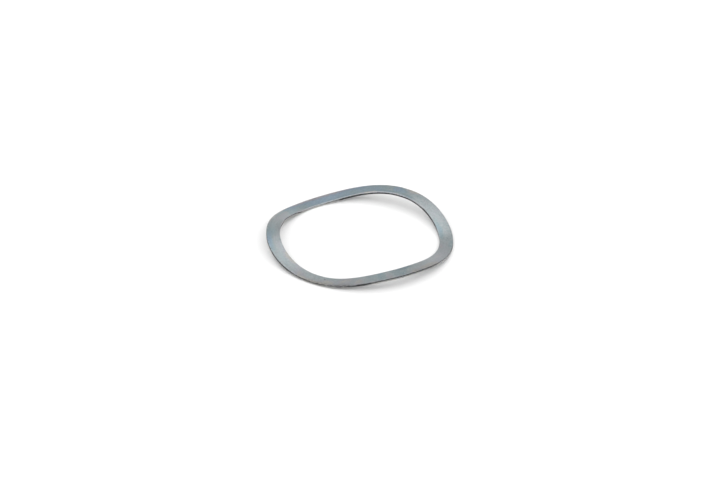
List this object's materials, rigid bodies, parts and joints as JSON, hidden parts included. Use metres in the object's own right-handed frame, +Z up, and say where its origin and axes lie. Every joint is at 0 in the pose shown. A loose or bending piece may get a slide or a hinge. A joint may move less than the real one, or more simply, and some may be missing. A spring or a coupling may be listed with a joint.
{
  "type": "wave washer",
  "caption": "Thin spring steel ring pressed into three waves, used as a preload shim between a bearing's outer ring and its housing.",
  "frame": {"origin": "on the axis of the bore, in the plane that the three troughs rest on", "axes": "+Z up along the axis of the bore; +X from the axis to the right-hand trough; the tall crest is 60 degrees round from +X"},
  "size_m": [0.0615, 0.0614, 0.0049],
  "materials": {
    "zinc_plated_steel": "satin blue-white zinc plate over tumbled spring steel"
  },
  "bodies": {
    "root": {"washer": "zinc_plated_steel"}
  },
  "joints": []
}
